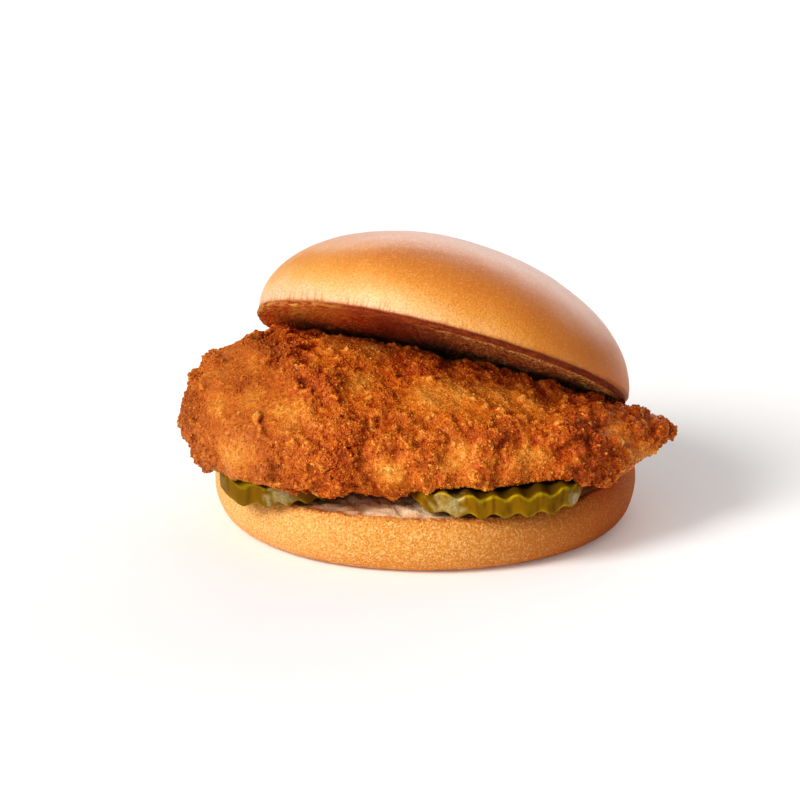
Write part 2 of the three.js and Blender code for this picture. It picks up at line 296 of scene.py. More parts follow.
def thinned(source, weights, triangles):
    """The mesh brought down to that many triangles, mostly where the weights are high."""
    group = source.vertex_groups.new(name="thin")
    for level in range(1, 5):
        chosen = np.flatnonzero(np.round(weights * 4) == level)
        group.add(chosen.tolist(), level / 4, "REPLACE")
    now = sum(len(face.vertices) - 2 for face in source.data.polygons)
    ratio = min(1, triangles / now)
    return modified(source, "DECIMATE", ratio=ratio, vertex_group="thin")


def finish_piece(piece, node, material):
    piece.data.materials.append(material)
    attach(piece, "root")
    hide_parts(node)


class Nodes:
    """A node tree, with one line for each node."""

    def __init__(self, tree):
        self.tree = tree

    def node(self, kind, inputs, **settings):
        made = self.tree.nodes.new("ShaderNode" + kind)
        for key, value in settings.items():
            setattr(made, key, value)
        for key, value in inputs.items():
            self.feed(made.inputs[key], value)
        return made

    def feed(self, socket, value):
        if isinstance(value, bpy.types.NodeSocket):
            self.tree.links.new(value, socket)
        else:
            socket.default_value = value

    def math(self, operation, first, second, **settings):
        inputs = {0: first, 1: second}
        return self.node("Math", inputs, operation=operation, **settings).outputs[0]

    def times(self, first, second):
        return self.math("MULTIPLY", first, second)

    def plus(self, first, second):
        return self.math("ADD", first, second)

    def span(self, value, low, high, to_low=0.0, to_high=1.0, **settings):
        inputs = {
            "Value": value,
            "From Min": low,
            "From Max": high,
            "To Min": to_low,
            "To Max": to_high,
        }
        return self.node("MapRange", inputs, **settings).outputs["Result"]


class Graph(Nodes):
    """A material and its nodes."""

    def __init__(self, name, turned_place=False):
        self.material = bpy.data.materials.new(name)
        self.material.use_nodes = True
        super().__init__(self.material.node_tree)
        self.shader = self.tree.nodes["Principled BSDF"]
        self.place = self.node("TexCoord", {}).outputs["Object"]
        place = self.attribute("local", "Vector") if turned_place else self.place
        axes = self.node("SeparateXYZ", {"Vector": place}).outputs
        self.x = axes["X"]
        self.z = axes["Z"]

    def set(self, **values):
        for key, value in values.items():
            self.feed(self.shader.inputs[key.replace("_", " ")], value)

    def translucent(self, weight, scale, radius):
        self.set(Subsurface_Weight=weight, Subsurface_Scale=scale, Subsurface_Radius=radius)

    def attribute(self, name, output="Fac"):
        return self.node("Attribute", {}, attribute_name=name).outputs[output]

    def noise(self, size, detail, roughness, place=None):
        """Noise from 0 to 1 with features of that size in millimetres."""
        inputs = {
            "Vector": place or self.place,
            "Scale": 1 / (size * MM),
            "Detail": detail,
            "Roughness": roughness,
        }
        return self.node("TexNoise", inputs).outputs["Fac"]

    def layers(self, size):
        """Noise drawn out into layers along a bun half's rim."""
        return self.noise(size, 3, 0.6, self.attribute("layers", "Vector"))

    def cells(self, size):
        inputs = {"Vector": self.place, "Scale": 1 / (size * MM)}
        return self.node("TexVoronoi", inputs).outputs["Distance"]

    def stretched(self, scale):
        inputs = {"Vector": self.attribute("local", "Vector"), "Scale": scale}
        return self.node("Mapping", inputs).outputs["Vector"]

    def by_x(self, start, end, to_low=0.0, to_high=1.0):
        """A number that changes between two places along X, given in millimetres."""
        return self.span(self.x, start * MM, end * MM, to_low, to_high)

    def ramp(self, value, stops):
        """Colours at their stops, each as (place, red, green, blue)."""
        made = self.node("ValToRGB", {"Fac": value})
        elements = made.color_ramp.elements
        elements[1].position = stops[-1][0]
        elements[1].color = rgb(*stops[-1][1:])
        elements[0].position = stops[0][0]
        elements[0].color = rgb(*stops[0][1:])
        for position, *colour in stops[1:-1]:
            elements.new(position).color = rgb(*colour)
        return made.outputs["Color"]

    def mix(self, share, first, second):
        inputs = {"Factor": share, 6: first, 7: second}
        return self.node("Mix", inputs, data_type="RGBA").outputs[2]

    def bump(self, height, depth, strength):
        inputs = {"Height": height, "Distance": depth, "Strength": strength}
        return self.node("Bump", inputs).outputs["Normal"]


def cad_points(name):
    return get_points(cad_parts[name].data)


def closed_tube(rings, count):
    """Faces over rings of points, closed by the very first and the very last point."""
    faces = []
    end = rings * count + 1
    final = end - count
    for i in range(count):
        j = (i + 1) % count
        faces.append((0, 1 + j, 1 + i))
        faces.append((end, final + i, final + j))
        for r in range(rings - 1):
            low = 1 + r * count
            faces.append((low + i, low + j, low + count + j, low + count + i))
    return faces


# Turned bun halves

def heel_top(radius):
    start = HEEL_RIM_RADIUS - HEEL_RIM_BAND
    return HEEL_HEIGHT - HEEL_RIM_DROP * smoothstep(radius, start, HEEL_RIM_RADIUS)


def on_ring(around, radius, height):
    """Places at those angles around the vertical axis."""
    return np.stack([np.cos(around) * radius, np.sin(around) * radius, height + 0 * around], 1)


def turned(profile):
    """Points, faces, each point's angle and its place along the profile."""
    rings = len(profile) - 2
    angles = np.arange(TURN_SEGMENTS) / TURN_SEGMENTS * 2 * math.pi
    station = np.repeat(np.arange(1, rings + 1), TURN_SEGMENTS)
    # single points close both ends
    around = np.concatenate([[0], np.tile(angles, rings), [0]])
    station = np.concatenate([[0], station, [rings + 1]])
    points = on_ring(around, profile[station, 0], profile[station, 1])
    return points, closed_tube(rings, TURN_SEGMENTS), around, station


def outline_scale(points, radius):
    """How the solid's lowest outline differs from a circle, as a function of the angle."""
    reach = np.hypot(points[:, 0], points[:, 1])
    outer = (np.abs(points[:, 2]) < 0.05) & (reach > radius * 0.9)
    angle = np.arctan2(points[outer, 1], points[outer, 0])
    share = reach[outer] / radius
    order = np.argsort(angle)

    def scale(around):
        around = (around + math.pi) % (2 * math.pi) - math.pi
        return np.interp(around, angle[order], share[order], period=2 * math.pi)

    return scale


def lip_share(reach):
    """How far the cut face has bent down towards the lip, at a distance from its middle."""
    return smoothstep(reach, CROWN_RIM_RADIUS - LIP_RISE, CROWN_RIM_RADIUS - LIP_WIDTH)


def layer_places(around, radius, across):
    """Where a point lies along the rim, squeezed, and across it: for layers along the rim."""
    return on_ring(around, radius * RIM_LAYER_SQUEEZE, across) * MM


def build_crown():
    turn = np.array(Vector((0, 0, 1)).rotation_difference(CROWN_NORMAL).to_matrix())
    solid = cad_points("crown")
    normal = np.array(CROWN_NORMAL)
    floor = (solid @ normal).min()
    height = (floor - normal[0] * CROWN_X - normal[1] * CROWN_Y) / normal[2]
    centre = np.array([CROWN_X, CROWN_Y, height])
    scale = outline_scale((solid - centre) @ turn, CROWN_RIM_RADIUS - CROWN_EDGE)

    lip_start = CROWN_RIM_RADIUS - LIP_WIDTH
    fine = np.linspace(CROWN_FINE_FROM, lip_start, 34)[1:]
    face = np.concatenate([np.linspace(0, CROWN_FINE_FROM, 10), fine])
    profile = [(r, -LIP_DEPTH * float(lip_share(r))) for r in face]
    for angle in np.linspace(0, math.pi / 2, 11)[1:]:
        drop = (LIP_TOP + LIP_DEPTH) * math.cos(angle)
        profile.append((lip_start + LIP_WIDTH * math.sin(angle), LIP_TOP - drop))
    cut_count = len(profile)
    for share in np.linspace(0, 1, 6)[1:]:
        rise = LIP_TOP + (CROWN_BULGE_AT - LIP_TOP) * share
        profile.append((CROWN_RIM_RADIUS + CROWN_BULGE * share, rise))
    widest = CROWN_RIM_RADIUS + CROWN_BULGE
    power = 2 / CROWN_ROUNDNESS
    for angle in np.linspace(0, math.pi / 2, 92)[1:-1]:
        rise = (CROWN_HEIGHT - CROWN_BULGE_AT) * math.sin(angle) ** power
        profile.append((widest * math.cos(angle) ** power, CROWN_BULGE_AT + rise))
    profile.append((0, CROWN_HEIGHT))
    profile = np.array(profile)
    points, faces, around, station = turned(profile)
    steps = np.hypot(*np.diff(profile, axis=0).T)
    length = np.concatenate([[0], np.cumsum(steps)])
    depth = (length[cut_count - 1] - length)[station]

    cut = (station < cut_count).astype(float)
    reach = np.hypot(points[:, 0], points[:, 1])
    level = points[:, 2].copy()
    points[:, :2] *= scale(around)[:, None]
    side = (1 + points[:, 0] / CROWN_RIM_RADIUS) / 2
    points[:, 0] -= CROWN_LEAN * level / CROWN_HEIGHT * side

    # the torn crumb of the cut face, which only ever goes inwards
    crumb = on_ring(around, 40, reach * 0.4)
    inward = 0.6 + 0.35 * noise(points, 5.5, 1) + 0.6 * noise(crumb, 2.1, 2)
    inward += 0.35 * noise(crumb, 1.3, 8)
    pits = np.clip(noise(points, 3.1, 3) - 0.2, 0, 1) * 1.6
    points[:, 2] += cut * np.clip(inward + pits, 0, 1.8) * smoothstep(depth, 0.5, 5)

    # the skin: slow swells, small dents, and pleats that run up from the cut edge, all along
    # the normals of an ellipsoid of about the crown's size
    outward = points * [1 / 48**2, 1 / 48**2, 1 / 29**2]
    outward /= np.maximum(np.linalg.norm(outward, axis=1, keepdims=True), 1e-6)
    swell = 0.3 * noise(points, 24, 4) + 0.07 * noise(points, 5, 5)
    swell += 1.0 * smoothstep(points[:, 0], 26, 46) * np.exp(-level / 16)
    ring = on_ring(around, CROWN_RIM_RADIUS, level / 60 * CROWN_RIM_RADIUS)
    # the lip is torn and layered
    layered = on_ring(around, 12, depth * 1.6)
    torn = 0.3 * noise(ring, 3.2, 10) + 0.25 * noise(layered, 1.0, 44)
    on_lip = cut * (1 - smoothstep(depth, 3, 5)) * smoothstep(depth, 0, 0.4)
    pleat = noise(ring, 2.6, 6) * np.exp(-level / 5) * 0.13
    skin = (1 - cut) * smoothstep(level, 0.3, 1.6)
    points += outward * ((swell + pleat) * skin)[:, None]
    points += on_ring(around, 1, -0.6) * ((0.3 + torn) * on_lip)[:, None]

    # the cut edge isn't quite level
    rim = np.exp(-((reach - CROWN_RIM_RADIUS) ** 2) / 1.5) * np.exp(-np.abs(level) / 1.2)
    points[:, 2] += rim * 0.2 * noise(ring, 3.5, 7)

    world = points @ turn.T + centre
    piece = mesh_object("crown_skin", world, faces)
    layers = layer_places(around, CROWN_RIM_RADIUS, depth)
    mark(piece, cut=cut, level=level, depth=depth, local=points * MM, layers=layers)
    return piece, height


def build_heel():
    solid = cad_points("heel")
    scale = outline_scale(solid, HEEL_BASE_RADIUS)
    profile = [(r, 0) for r in np.linspace(0, HEEL_BASE_RADIUS, 12)]
    for angle in np.linspace(0, math.pi / 2, 20)[1:]:
        out = (HEEL_RADIUS - HEEL_BASE_RADIUS) * math.sin(angle) ** HEEL_UNDERCURVE
        profile.append((HEEL_BASE_RADIUS + out, HEEL_WIDEST_AT * (1 - math.cos(angle))))
    rim_level = heel_top(HEEL_RIM_RADIUS)
    rise = rim_level - HEEL_WIDEST_AT
    for share in np.linspace(0, 1, 12)[1:]:
        inward = (HEEL_RADIUS - HEEL_RIM_RADIUS) * share * share
        profile.append((HEEL_RADIUS - inward, HEEL_WIDEST_AT + rise * share))
    side_count = len(profile)
    for radius in np.linspace(HEEL_RIM_RADIUS, 0, 78)[1:]:
        profile.append((radius, float(heel_top(radius))))
    points, faces, around, station = turned(np.array(profile))
    reach = np.hypot(points[:, 0], points[:, 1])
    cut = (station >= side_count).astype(float)
    level = points[:, 2].copy()
    points[:, :2] *= scale(around)[:, None]

    # the torn crumb of the cut face, which only ever goes inwards
    inward = 0.6 + 0.4 * noise(points, 5, 11) + 0.4 * noise(points, 2.2, 12)
    inward += 0.35 * noise(points, 1.4, 18)
    pits = np.clip(noise(points, 3.4, 13) - 0.25, 0, 1) * 2.2
    edge_share = smoothstep(reach, HEEL_RIM_RADIUS - 1.6, HEEL_RIM_RADIUS)
    points[:, 2] -= cut * np.clip(inward + pits, 0, 2) * (1 - edge_share)

    ring = on_ring(around, HEEL_RADIUS, level / 40 * HEEL_RADIUS)
    swell = 0.3 * noise(points, 20, 14) + 0.08 * noise(points, 4.5, 15)
    pleat = noise(ring, 3.2, 16) * np.exp(-(rim_level - level) / 2.5) * 0.12
    skin = (1 - cut) * smoothstep(level, 0, 1.5)
    points += on_ring(around, 1, 0) * ((swell + pleat) * skin)[:, None]
    rim = np.exp(-((reach - HEEL_RIM_RADIUS) ** 2) / 1.5) * smoothstep(level, 13.5, 14.8)
    points[:, 2] -= rim * (0.3 + 0.4 * noise(ring, 5, 17) + 0.3 * noise(ring, 1.7, 19)).clip(0)

    piece = mesh_object("heel_skin", points, faces)
    depth = HEEL_RIM_RADIUS - reach
    layers = layer_places(around, HEEL_RIM_RADIUS, level + reach)
    mark(piece, cut=cut, level=level, depth=depth, local=points * MM, layers=layers)
    return piece


# Pickle chips

def chip_base(x, y):
    radius = np.hypot(x, y)
    past = np.maximum(0, radius - PICKLE_BENDS_FROM)
    return heel_top(radius) + CLEARANCE + PICKLE_WAVE - PICKLE_DROOP * past * past


def chip_curl(chip, across):
    return chip["curl"] * smoothstep(across / chip["radius"], PICKLE_CURLS_FROM, 1)


def build_pickle(name, seed):
    chip = PICKLES[name]
    angle = math.radians(chip["turn"])
    cos, sin = math.cos(angle), math.sin(angle)
    radius = chip["radius"]
    power = chip["squareness"]
    bunching = CHIP_BUNCHING * math.pi / 2
    # one walk around a cross-section, as (share of the half width, inset, lift): along the
    # underside, up one side, back over the top and down the other side
    span = np.linspace(-1, 1, CHIP_SPANS)[1:-1]
    side = [(CHIP_EDGE, 0), (0, 0.16), (0, 0.35), (0, 0.5), (0, 0.65), (0, 0.84), (CHIP_EDGE, 1)]
    walk = [(share, 0, 0) for share in span]
    walk += [(1, inset, lift) for inset, lift in side]
    walk += [(share, 0, 1) for share in span[::-1]]
    walk += [(-1, inset, lift) for inset, lift in side[::-1]]
    walk = np.array(walk, float)
    rows = []
    for s in range(1, CHIP_STATIONS):
        share = 2 * s / CHIP_STATIONS - 1
        across = radius * math.sin(share * bunching) / math.sin(bunching)
        half = radius * (1 - abs(across / radius) ** power) ** (1 / power)
        edge = min(0.5, half / 3)
        on_side = np.abs(walk[:, 0]) == 1
        reach = np.where(on_side, half - walk[:, 1] * edge, half - edge)
        lift = walk[:, 2] * PICKLE_THICKNESS
        rows.append(np.stack([np.full(len(walk), across), walk[:, 0] * reach, lift], 1))
    rings = np.concatenate(rows)
    ends = np.array([[-radius, 0, PICKLE_THICKNESS / 2], [radius, 0, PICKLE_THICKNESS / 2]])
    flat = np.concatenate([ends[:1], rings, ends[1:]])

    x = chip["x"] + flat[:, 0] * cos - flat[:, 1] * sin
    y = chip["y"] + flat[:, 0] * sin + flat[:, 1] * cos
    wave = np.sin(2 * math.pi * flat[:, 0] / chip["pitch"] + chip["phase"])
    ripple = PICKLE_WAVE * wave
    base = chip_base(x, y) + chip_curl(chip, flat[:, 0])
    points = np.stack([x, y, base + ripple + flat[:, 2]], 1)

    faces = closed_tube(CHIP_STATIONS - 1, len(walk))
    piece = mesh_object(name + "_flesh", points, faces)

    # soft unevenness, and how near the skin each point is
    squared = np.abs(flat[:, 0] / radius) ** power + np.abs(flat[:, 1] / radius) ** power
    rim_gap = radius * (1 - squared ** (1 / power))
    points += get_normals(piece.data) * (0.12 * noise(points, 2.4, seed))[:, None]
    set_points(piece.data, points)
    stripes = np.stack([flat[:, 0], flat[:, 1] * 0.3, flat[:, 2] * 0.25], 1)
    wet = front_features(points, get_normals(piece.data), WET_PATCHES)
    wet += 0.6 * noise(points, 1.5, seed + 6) * (wet > 0.1)
    mark(piece, rim_gap=rim_gap, wet=wet, stripe=noise(stripes, 1.1, seed + 5))
    mark(piece, lift=flat[:, 2] / PICKLE_THICKNESS, ripple=ripple / PICKLE_WAVE)
    return piece


# Fillet

def support(x, y):
    heel = heel_top(np.hypot(x, y))
    height = heel
    for chip in PICKLES.values():
        past = np.hypot(x - chip["x"], y - chip["y"]) - chip["radius"]
        on_chip = 1 - smoothstep(past, *CHIP_DENT)
        top = chip_base(x, y) + chip_curl(chip, x - chip["x"]) + PICKLE_THICKNESS + PICKLE_WAVE
        height = np.maximum(height, heel + (top - heel) * on_chip)
    return height


def up_front(points):
    return points[:, 2] * math.cos(VIEW_TILT) + points[:, 1] * math.sin(VIEW_TILT)


def facing_front(normals):
    return -normals[:, 1] * math.cos(VIEW_TILT) + normals[:, 2] * math.sin(VIEW_TILT)


def near_flaps(points, normals):
    """How high the flaps stand at each point."""
    at = np.stack([points[:, 0], up_front(points)], 1)
    at[:, 0] += 1.5 * noise(points, 4.5, 41)
    at[:, 1] += 1.5 * noise(points, 4.5, 42)
    height = np.zeros(len(points))
    for x0, v0, x1, v1, width, tall in FLAPS:
        along = np.array([x1 - x0, v1 - v0])
        share = np.clip((at - [x0, v0]) @ along / (along @ along), 0, 1)
        away = np.hypot(*(at - [x0, v0] - share[:, None] * along).T) / width
        height = np.maximum(height, tall * np.exp(-(away**2)))
    return height * smoothstep(facing_front(normals), -0.1, 0.3)


def front_features(points, normals, features):
    """How much each point belongs to the listed places of the front, from 0 to 1."""
    wobble_x = points[:, 0] + 1.2 * noise(points, 5, 31)
    wobble_v = up_front(points) + 1.2 * noise(points, 5, 32)
    most = np.zeros(len(points))
    for x, v, radius in features:
        away = np.hypot(wobble_x - x, wobble_v - v) / radius
        most = np.maximum(most, np.exp(-(away**2) * 1.1))
    return most * smoothstep(facing_front(normals), -0.1, 0.35)


class Crust:
    """Where the fillet's surface is golden, crusty or pitted, how brown it is, and its painted
    shade.
    """

    def __init__(self, points, normals):
        self.golden = front_features(points, normals, GOLDEN)
        self.crusty = front_features(points, normals, CRUSTY)
        self.pitted = front_features(points, normals, PITS)
        patch = noise(points, 14, 33) * 0.8 + noise(points, 6, 34) * 0.5
        crags = 0.45 + 0.5 * patch + 0.8 * self.crusty - 0.9 * self.golden
        self.crags = np.clip(crags, 0, 1)
        self.browning = 0.44 + 0.1 * patch + 0.15 * self.crusty
        # painted shade: the pits are browner
        self.browning += 0.2 * self.pitted - 0.25 * self.golden
        # painted shade: browner at the left end, where the key light falls strongest,
        # and a little browner at the right end
        self.browning += 0.14 * smoothstep(points[:, 0], -22, -46)
        self.browning += 0.06 * smoothstep(points[:, 0], 25, 45)


def crumb_blobs(places, normals, radii, flatness, divisions, unevenness):
    """Small uneven lumps, one at each place."""
    shape = bmesh.new()
    bmesh.ops.create_icosphere(shape, subdivisions=divisions, radius=1)
    base = np.array([v.co[:] for v in shape.verts])
    triangles = np.array([[v.index for v in f.verts] for f in shape.faces])
    shape.free()
    count = len(places)
    lumpy = 1 + unevenness * rng.normal(size=(count, len(base))).clip(-1.5, 1.5)
    blobs = base[None] * lumpy[..., None]
    stretch = np.stack([rng.uniform(0.8, 1.6, count), rng.uniform(0.6, 1.1, count), flatness], 1)
    blobs *= (stretch * radii[:, None])[:, None, :]
    # stand each blob on the surface, turned freely about the normal and tipped a little
    helper = rng.normal(size=(count, 3))
    up = normals + 0.35 * rng.normal(size=(count, 3))
    up /= np.linalg.norm(up, axis=1, keepdims=True)
    first = np.cross(helper, up)
    first /= np.linalg.norm(first, axis=1, keepdims=True)
    second = np.cross(up, first)
    turn = np.stack([first, second, up], 1)
    blobs = np.einsum("nvk,nkj->nvj", blobs, turn) + places[:, None, :]
    faces = triangles[None] + (np.arange(count) * len(base))[:, None, None]
    return blobs.reshape(-1, 3), faces.reshape(-1, 3)


def nearest_on_front(points, normals, x, v):
    """The point of the surface that shows at that place of the front."""
    away = np.hypot(points[:, 0] - x, up_front(points) - v)
    away += np.where(facing_front(normals) > 0.2, 0, 50)
    return int(np.argmin(away))


def sagged(points, normals):
    """The points, with some of the front's lower edge hanging lower."""
    up = up_front(points)
    for x, v, radius, drop in SAGS:
        away = np.hypot(points[:, 0] - x, up - v) / radius
        points[:, 2] -= drop * np.exp(-(away**2)) * smoothstep(facing_front(normals), -0.6, 0.1)
    return points


def held_in(points, normals, solid):
    """Presses back what stands out too far from the solid or past its left end."""
    shown = smoothstep(facing_front(normals), 0.1, 0.6)
    most = OUTLINE_REACH + (FRONT_REACH - OUTLINE_REACH) * shown
    for i, point in enumerate(points):
        place, normal, _, distance = solid.find_nearest(Vector(point))
        away = Vector(point) - place
        if distance > most[i] and away.dot(normal) > 0:
            points[i] -= np.array(away) * (1 - most[i] / distance)
    past = np.minimum(points[:, 0] - BLUNT_FROM, 0)
    points[:, 0] -= past * (1 - BLUNT_SQUEEZE)
    return points


def keep_clear(points, crown_height):
    """Presses the points below the crown's cut face and above the heel and the chips."""
    normal = np.array(CROWN_NORMAL)
    slope = normal[0] * (points[:, 0] - CROWN_X) + normal[1] * (points[:, 1] - CROWN_Y)
    ceiling = crown_height - slope / normal[2] - FACE_GAP
    away = points - [CROWN_X, CROWN_Y, crown_height]
    reach = np.linalg.norm(away - (away @ normal)[:, None] * normal, axis=1)
    lip = lip_share(reach) * (1 - smoothstep(reach, CROWN_RIM_RADIUS - 1, CROWN_RIM_RADIUS + 1.5))
    ceiling -= (LIP_DEPTH + LIP_GAP) * lip
    floor = support(points[:, 0], points[:, 1]) + REST_GAP
    points[:, 2] = np.maximum(floor, np.minimum(ceiling, points[:, 2]))
    return points


def build_fillet(crown_height):
    """The crust's skin, with the larger lumps grown onto it."""
    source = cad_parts["fillet"]
    corners = [Vector(point) for point in get_points(source.data)]
    solid = BVHTree.FromPolygons(corners, [tuple(face.vertices) for face in source.data.polygons])
    body = remeshed(new_object("fillet_crust", source.data.copy()), CORE_VOXEL)
    points = smoothed(get_points(body.data), get_edges(body.data), CORE_SMOOTHING)
    set_points(body.data, points)
    normals = get_normals(body.data)

    crust = Crust(points, normals)
    ridges = 0.55 - 1.25 * np.abs(noise(points, 7.5, 35)) + 0.5 * noise(points, 3.4, 36)
    relief = 1.6 * ridges * (0.25 + 0.75 * crust.crags) + 0.3 * crust.crusty
    relief += near_flaps(points, normals) - 1.0 * crust.pitted - 0.2 * crust.golden
    # flatter where the outline shows and underneath
    relief *= 0.3 + 0.7 * smoothstep(facing_front(normals), -0.1, 0.45)
    relief *= 0.4 + 0.6 * smoothstep(normals[:, 2], -0.75, -0.15)
    points = sagged(points + normals * (relief - CORE_SINK)[:, None], normals)
    set_points(body.data, points)
    normals = get_normals(body.data)

    # flattish lumps, the listed ones, and a grain of small ones
    likely = 0.02 + crust.crags**1.5
    chosen = rng.choice(len(points), LUMP_COUNT, replace=False, p=likely / likely.sum())
    radii = 0.9 + 1.6 * rng.random(LUMP_COUNT) ** 2 * (0.4 + crust.crags[chosen])
    nuggets = [nearest_on_front(points, normals, x, v) for x, v, _ in NUGGETS]
    chosen = np.concatenate([chosen, nuggets])
    radii = np.concatenate([radii, [radius for _, _, radius in NUGGETS]])
    flatness = rng.uniform(0.45, 0.85, len(chosen))
    lift = radii * rng.uniform(-0.15, 0.3, len(chosen))
    places = points[chosen] + normals[chosen] * lift[:, None]
    blobs, triangles = crumb_blobs(places, normals[chosen], radii, flatness, 2, 0.2)
    tones = rng.random(len(chosen))

    likely = 0.15 + crust.crags
    grains = rng.choice(len(points), GRAIN_COUNT, replace=False, p=likely / likely.sum())
    sizes = 0.42 + 0.55 * rng.random(GRAIN_COUNT) ** 2 * (0.4 + crust.crags[grains])
    sink = sizes * rng.uniform(-0.45, 0.2, GRAIN_COUNT)
    grain_places = points[grains] + normals[grains] * sink[:, None]
    flatter = rng.uniform(0.6, 1.0, GRAIN_COUNT)
    small, small_triangles = crumb_blobs(grain_places, normals[grains], sizes, flatter, 1, 0.15)

    faces = [tuple(face.vertices) for face in body.data.polygons]
    bpy.data.objects.remove(body)
    faces += (triangles + len(points)).tolist()
    faces += (small_triangles + len(points) + len(blobs)).tolist()
    joined = mesh_object("fillet_crust", np.concatenate([points, blobs, small]), faces)
    piece = remeshed(joined, SKIN_VOXEL)
    unseen = smoothstep(facing_front(get_normals(piece.data)), 0.1, -0.5)
    piece = thinned(piece, unseen, SKIN_TRIANGLES)
    mesh = piece.data
    edges = get_edges(mesh)
    points = smoothed(get_points(mesh), edges, 1)
    set_points(mesh, points)
    normals = get_normals(mesh)
    fine = 0.12 * noise(points, 1.2, 37) + 0.2 * noise(points, 2.3, 38)
    points = held_in(points + normals * fine[:, None], normals, solid)
    points = keep_clear(points, crown_height)
    set_points(mesh, points)
    mesh.shade_smooth()
    normals = get_normals(mesh)

    # hollows and high places: painted shade darkens the hollows and the creases
    wide = smoothed(points, edges, WIDE_ROUNDS)
    hollow = np.einsum("ij,ij->i", wide - points, normals)
    narrow = smoothed(points, edges, NARROW_ROUNDS)
    crease = np.einsum("ij,ij->i", narrow - points, normals)
    tree = KDTree(len(places))
    for i, place in enumerate(places):
        tree.insert(place, i)
    tree.balance()
    index, away = np.array([tree.find(point)[1:] for point in points]).T
    index = index.astype(int)
    on_lump = 1 - smoothstep(away / radii[index], 0.8, 1.5)
    crust = Crust(points, normals)
    flap = near_flaps(points, normals)
    browning = crust.browning + 0.07 * flap + on_lump * (0.07 + 0.2 * (tones[index] - 0.5))
    hollow = np.clip(hollow / 0.5, -1, 1)
    mark(piece, browning=browning, hollow=hollow, crease=np.clip(crease / 0.18, -1, 1))
    return piece


def build_crumbs(skin, crown_height):
    """Fine crumbs on the crusty places, half sunk in the skin."""
    points = get_points(skin.data)
    normals = get_normals(skin.data)
    crust = Crust(points, normals)
    likely = 0.25 + crust.crags
    likely *= 0.4 + smoothstep(facing_front(normals), -0.3, 0.2)
    total = CRUMB_PIECES * CRUMBS_A_PIECE
    chosen = rng.choice(len(points), total, replace=False, p=likely / likely.sum())
    radii = 0.2 + 0.32 * rng.random(total) ** 2 * (0.4 + 0.6 * crust.crags[chosen])
    places = points[chosen] + normals[chosen] * (radii * rng.uniform(-0.5, 0.1, total))[:, None]
    flatness = rng.uniform(0.6, 1.0, total)
    # a few crumbs are much paler, as painted glints
    tones = rng.normal(size=total).clip(-2, 2) * 0.09 - 0.35 * (rng.random(total) < PALE_CRUMBS)
    pieces = []
    for k in range(CRUMB_PIECES):
        own = slice(k, total, CRUMB_PIECES)
        blobs, faces = crumb_blobs(
            places[own], normals[chosen[own]], radii[own], flatness[own], 1, 0.16
        )
        blobs = keep_clear(blobs, crown_height)
        piece = mesh_object("fillet_crumbs_" + "abc"[k], blobs, faces.tolist())
        per_crumb = len(blobs) // len(places[own])
        brown = crust.browning[chosen[own]] + tones[own]
        flat = np.zeros(len(blobs))
        mark(piece, browning=np.repeat(brown, per_crumb), hollow=flat, crease=flat)
        pieces.append(piece)
    return pieces


# Materials

CROWN_CRUMB = [
    (0.0, 160, 68, 6), (0.05, 176, 84, 12),
    (0.14, 186, 86, 10), (0.4, 204, 92, 8),
    (1.0, 200, 86, 8),
]
HEEL_CRUMB = [
    (0.0, 206, 120, 42), (0.05, 226, 156, 86),
    (0.12, 252, 214, 172), (1.0, 254, 226, 190),
]


